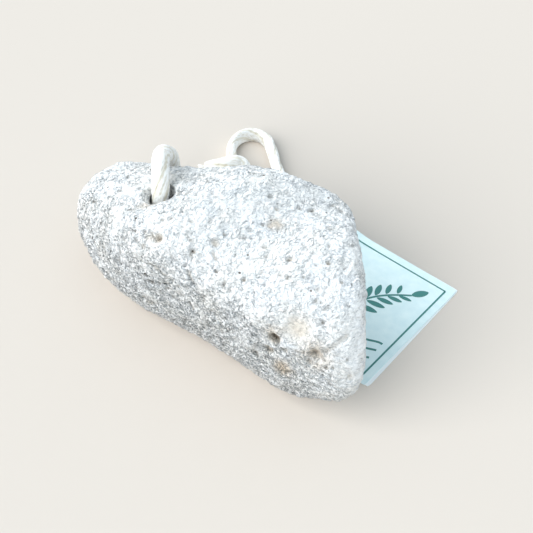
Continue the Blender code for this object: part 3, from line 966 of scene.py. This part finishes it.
def make_drill():
    """A rough rod that widens at both mouths of the hole and is narrowed below the upper one."""
    bore, mouth, over = HOLE_DIAMETER / 2, MOUTH_DIAMETER / 2, DRILL_OVER
    outline = (
        (0.0, over),
        (mouth + 1.0, over),
        (mouth, 0.0),
        (bore, -MOUTH_REACH),
        (bore, -HOLE_DEPTH + MOUTH_REACH),
        (mouth, -HOLE_DEPTH),
        (mouth + 1.0, -HOLE_DEPTH - over),
        (0.0, -HOLE_DEPTH - over),
    )
    bm = bmesh.new()
    corners = [bm.verts.new((radius, 0.0, height)) for radius, height in outline]
    edges = [bm.edges.new(pair) for pair in zip(corners, corners[1:])]
    bmesh.ops.subdivide_edges(bm, edges=edges[1:-1], cuts=24)
    bmesh.ops.spin(
        bm, geom=bm.verts[:] + bm.edges[:], axis=(0, 0, 1), angle=2 * pi, steps=64, use_merge=True
    )
    bmesh.ops.remove_doubles(bm, verts=bm.verts, dist=0.001)
    bmesh.ops.recalc_face_normals(bm, faces=bm.faces)
    for v in bm.verts:
        v.co += v.normal * DRILL_ROUGHNESS * noise.fractal(v.co / DRILL_GRAIN, 0.8, 2.0, 3)
        narrow = max(0.0, 1 - (v.co.z / FUNNEL_DEPTH + 1) ** 2) ** 2
        v.co = v.co * (1 - FUNNEL_SHARE * narrow) + FUNNEL_SHIFT * narrow
    turned = Vector((0, 0, 1)).rotation_difference(Vector(HOLE_WAY)).to_matrix().to_4x4()
    bmesh.ops.transform(bm, matrix=Matrix.Translation(HOLE_MOUTH) @ turned, verts=bm.verts)
    drill = new_piece("drill", bm)
    for name, value in DRILL_MARKS:
        values = np.full(len(drill.data.vertices), value)
        drill.data.attributes.new(name, "FLOAT", "POINT").data.foreach_set("value", values)
    return drill


def make_stone():
    """The form with its pits and its skin, drilled, with what the material reads kept at each point."""
    bm = bmesh.new()
    bmesh.ops.create_icosphere(bm, subdivisions=SPHERE_LEVELS, radius=1.0)
    points = form(np.array([v.co for v in bm.verts]))
    for v, point in zip(bm.verts, points):
        v.co = point
    bm.normal_update()
    normals = np.array([v.normal for v in bm.verts])
    sunk = pits(points)
    push, pore, rough = skin(points, normals)
    points += normals * (push - sunk)[:, None]
    points[:, 2] = np.maximum(points[:, 2], 0)
    for v, point in zip(bm.verts, points):
        v.co = point
    stone = new_piece("pumice", bm)
    marks = {"hollow": sunk, "pore": pore, "rough": rough, "stain": stains(points)}
    for name, values in marks.items():
        stone.data.attributes.new(name, "FLOAT", "POINT").data.foreach_set("value", values)
    drill = make_drill()
    hole = stone.modifiers.new("hole", "BOOLEAN")
    hole.object = drill
    hole.solver = "EXACT"
    apply_modifiers(stone)
    bpy.data.objects.remove(drill)
    fewer = stone.modifiers.new("fewer", "DECIMATE")
    fewer.ratio = STONE_TRIANGLES / len(stone.data.polygons)
    apply_modifiers(stone)
    print("the stone's attributes:", [a.name for a in stone.data.attributes])
    return stone


stone = make_stone()

# %% [markdown]
# Tumbled pumice is a cool off-white where it is worn, and cream to tan where a pit shows the inside or where
# a stain has settled. Deep pits, pores, creases and streaks are also darkened with painted shade. Here and
# there it holds a dark grain. It is completely matt. Grit, streaks, creases and pores too fine for the mesh
# are bumps, and most of them are strongest where the skin is rough.

# %% Pumice
PORE_SIZE = 0.75  # mm across the smallest pores, in the flow
GRIT_SIZE = 0.62  # mm across a crumb of the foam
# The blue-grey of the streaks and of the creases is painted shade in their grooves.
STREAK_SIZE = 0.42  # mm across the fine dark streaks of the foam
STREAK_STRETCH = (1.8, 4.0, 0.9)
CREASE_SIZE = 0.75  # mm between the fine dark creases of the foam
CREASE_WIDTH = 0.08  # of the noise, about a tenth of a millimetre on the stone
SPECK_SPACING = 2.8  # mm between the places where a dark grain may be
SPECK_RADIUS, SPECK_SHARE = 0.13, 0.15  # of the spacing, and of the places
CLOUD_SIZE = 7.0  # mm across the faint clouds in the white
PATCH_SIZE = 2.6  # mm across the patches where the creases are strong
PIT_DEPTH = 2.4  # mm, the depth at which a hollow is darkest
STREAKS_FROM = 0.4  # the roughness at which streaks begin to show
GRIT_BUMP, STREAK_BUMP, CREASE_BUMP, PORE_BUMP = 1.0, 0.55, 0.3, 0.4  # mm


def pumice():
    """Cool white and dead matt, with tan hollows, painted shade in its cavities and a rough grain in the
    light.
    """
    material, tree, shader = new_material("tumbled off-white pumice", Roughness=0.95, Specular_IOR_Level=0.2)
    place = in_mm(tree)
    flow = add(
        tree,
        "ShaderNodeMapping",
        {"Vector": (place, 0), "Rotation": FLOW_TURN, "Scale": FLOW_STRETCH},
        vector_type="TEXTURE",
    )

    def over(lower, upper, share=1.0):
        """Upper multiplied onto lower."""
        inputs = {0: share, 6: lower, 7: upper}
        mixed = add(tree, "ShaderNodeMix", inputs, data_type="RGBA", blend_type="MULTIPLY")
        return mixed, 2

    clouds = add(tree, "ShaderNodeTexNoise", {"Vector": (place, 0), "Scale": 1 / CLOUD_SIZE, "Detail": 5.0})
    white = add(
        tree, "ShaderNodeValToRGB", {"Fac": (clouds, "Fac")}, stops=((0.35, "F4F3F0"), (0.6, "FAFBFB"))
    )
    pore = add(tree, "ShaderNodeAttribute", attribute_name="pore")
    # Painted shade: the deeper a point lies in the pores, the greyer it is painted.
    painted_pore_shade = add(
        tree, "ShaderNodeValToRGB", {"Fac": (pore, "Fac")}, stops=((0.25, "FFFFFF"), (0.8, "B0ACA6"))
    )
    hollow = add(tree, "ShaderNodeAttribute", attribute_name="hollow")
    depth = add(tree, "ShaderNodeMapRange", {"Value": (hollow, "Fac"), 1: 0.0, 2: PIT_DEPTH})
    # The cream of a shallow pit is the foam's inside. Deeper pits run on to a brown-grey that is painted
    # shade.
    hollow_tan_and_shade = add(
        tree,
        "ShaderNodeValToRGB",
        {"Fac": (depth, 0)},
        stops=((0.1, "FFFFFF"), (0.5, "F1E9DF"), (0.85, "94887A")),
    )
    grit = add(tree, "ShaderNodeTexNoise", {"Vector": (flow, 0), "Scale": 1 / GRIT_SIZE, "Detail": 3.0})
    drawn = add(
        tree,
        "ShaderNodeMapping",
        {"Vector": (place, 0), "Rotation": FLOW_TURN, "Scale": STREAK_STRETCH},
        vector_type="TEXTURE",
    )
    streaks = add(tree, "ShaderNodeTexNoise", {"Vector": (drawn, 0), "Scale": 1 / STREAK_SIZE, "Detail": 2.0})
    # Painted shade: the low parts of the streak noise, which the bump below sinks, are darkened blue-grey.
    painted_streak_shade = add(
        tree, "ShaderNodeValToRGB", {"Fac": (streaks, "Fac")}, stops=((0.33, "B0B6B9"), (0.46, "FFFFFF"))
    )
    foam = add(tree, "ShaderNodeTexNoise", {"Vector": (flow, 0), "Scale": 1 / CREASE_SIZE, "Detail": 2.0})
    signed = add(tree, "ShaderNodeMath", {0: (foam, "Fac"), 1: 0.5}, operation="SUBTRACT")
    from_crease = add(tree, "ShaderNodeMath", {0: (signed, 0)}, operation="ABSOLUTE")
    ridge = add(tree, "ShaderNodeMapRange", {"Value": (from_crease, 0), 1: 0.0, 2: CREASE_WIDTH})
    # Painted shade: a thin blue-grey line along each crease, where the bump below sinks.
    painted_crease_shade = add(
        tree, "ShaderNodeValToRGB", {"Fac": (ridge, 0)}, stops=((0.1, "D0D4D7"), (0.8, "FFFFFF"))
    )
    patches = add(tree, "ShaderNodeTexNoise", {"Vector": (flow, 0), "Scale": 1 / PATCH_SIZE, "Detail": 2.0})
    patchy = add(tree, "ShaderNodeMapRange", {"Value": (patches, "Fac"), 1: 0.25, 2: 0.5})
    # Rough skin, on the flanks turned from the key light, gets more of the painted crease shade.
    rough = add(tree, "ShaderNodeAttribute", attribute_name="rough")
    creased = add(tree, "ShaderNodeMath", {0: (patchy, 0), 1: (rough, "Fac")}, operation="MULTIPLY")
    grains = add(tree, "ShaderNodeTexVoronoi", {"Vector": (place, 0), "Scale": 1 / SPECK_SPACING})
    near = add(tree, "ShaderNodeMath", {0: (grains, "Distance"), 1: SPECK_RADIUS}, operation="LESS_THAN")
    pick = add(tree, "ShaderNodeSeparateColor", {"Color": (grains, "Color")})
    few = add(tree, "ShaderNodeMath", {0: (pick, 0), 1: SPECK_SHARE}, operation="LESS_THAN")
    speck = add(tree, "ShaderNodeMath", {0: (near, 0), 1: (few, 0)}, operation="MULTIPLY")
    hollowed = over(over((white, "Color"), (painted_pore_shade, "Color")), (hollow_tan_and_shade, "Color"))
    stain = add(tree, "ShaderNodeAttribute", attribute_name="stain")
    blotches = add(tree, "ShaderNodeMapRange", {"Value": (clouds, "Fac"), 1: 0.4, 2: 0.6})
    stained = add(tree, "ShaderNodeMath", {0: (stain, "Fac"), 1: (blotches, 0)}, operation="MULTIPLY")
    tinted = over(hollowed, hex_colour("E9D8C4"), (stained, 0))
    # The same roughness sets how much painted streak shade shows, so it is strongest on the flanks turned
    # from the key light.
    streaked_here = add(tree, "ShaderNodeMath", {0: (rough, "Fac"), 1: STREAKS_FROM}, operation="SUBTRACT")
    bare = over(over(tinted, (painted_crease_shade, "Color"), (creased, 0)), (painted_streak_shade, "Color"), (streaked_here, 0))
    colour = add(tree, "ShaderNodeMix", {0: (speck, 0), 6: bare, 7: hex_colour("6E6760")}, data_type="RGBA")
    tree.links.new(colour.outputs[2], shader.inputs["Base Color"])

    pores = add(tree, "ShaderNodeTexVoronoi", {"Vector": (flow, 0), "Scale": 1 / PORE_SIZE})
    gritty = add(
        tree,
        "ShaderNodeBump",
        {"Height": (grit, "Fac"), "Strength": (rough, "Fac"), "Distance": GRIT_BUMP * MM},
    )
    streaked = add(
        tree,
        "ShaderNodeBump",
        {"Height": (streaks, "Fac"), "Strength": 1.0, "Distance": STREAK_BUMP * MM, "Normal": (gritty, 0)},
    )
    split = add(
        tree,
        "ShaderNodeBump",
        {
            "Height": (ridge, 0),
            "Strength": (creased, 0),
            "Distance": CREASE_BUMP * MM,
            "Normal": (streaked, 0),
        },
    )
    porous = add(
        tree,
        "ShaderNodeBump",
        {
            "Height": (pores, "Distance"),
            "Strength": 0.8,
            "Distance": PORE_BUMP * MM,
            "Normal": (split, 0),
        },
    )
    tree.links.new(porous.outputs["Normal"], shader.inputs["Normal"])
    return material


stone.data.materials.append(pumice())
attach(stone, "root")
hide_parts("pumice_stone")

# %% [markdown]
# ## Floor
#
# A plain pale sheet of matt paper, so wide that no view from low down looks past its edge.

# %% Floor
FLOOR_REACH = 9000.0
floor_bm = bmesh.new()
bmesh.ops.create_grid(floor_bm, x_segments=1, y_segments=1, size=FLOOR_REACH)
floor = new_piece("floor", floor_bm)
floor_material, _, _ = new_material(
    "pale matt paper", Roughness=1.0, Specular_IOR_Level=0.0, Base_Color=hex_colour("CFC7BE")
)
floor.data.materials.append(floor_material)

# %% [markdown]
# ## Light
#
# A pale even sky gives much of the light. A small key light from the right and behind brings out the grain,
# and a very broad fill from the left in front keeps the flanks bright. Both of them reach the object alone. A
# third light reaches the floor alone, and lays the soft shadow behind the object.

# %% Light
SKY_STRENGTH = 0.7
KEY_WAY, KEY_STRENGTH, KEY_SPREAD = (-0.65, -0.2, -0.5), 0.7, 4
FILL_WAY, FILL_STRENGTH, FILL_SPREAD = (0.8, 0.6, 0.05), 7.9, 130
FLOOR_WAY, FLOOR_STRENGTH, FLOOR_SPREAD = (0.0, 1.0, -0.6), 5.2, 60

world = bpy.data.worlds.new("soft studio")
world.use_nodes = True
background = world.node_tree.nodes["Background"]
background.inputs["Color"].default_value = hex_colour("E2F3FF")
background.inputs["Strength"].default_value = SKY_STRENGTH
bpy.context.scene.world = world
bpy.context.scene.view_settings.view_transform = "Standard"


def soft_sun(name, way, strength, spread, lit):
    """A broad even light along way, whose disc is spread degrees wide, on the lit objects alone."""
    light = bpy.data.objects.new(name, bpy.data.lights.new(name, "SUN"))
    light.data.energy = strength
    light.data.angle = radians(spread)
    light.rotation_mode = "QUATERNION"
    light.rotation_quaternion = Vector(way).to_track_quat("-Z", "Y")
    bpy.context.scene.collection.objects.link(light)
    receivers = bpy.data.collections.new(name + " lights")
    for piece in lit:
        receivers.objects.link(piece)
    light.light_linking.receiver_collection = receivers


pieces = [piece for piece in bpy.data.objects if piece.type == "MESH" and piece != floor]
soft_sun("key", KEY_WAY, KEY_STRENGTH, KEY_SPREAD, pieces)
soft_sun("fill", FILL_WAY, FILL_STRENGTH, FILL_SPREAD, pieces)
soft_sun("floor light", FLOOR_WAY, FLOOR_STRENGTH, FLOOR_SPREAD, [floor])
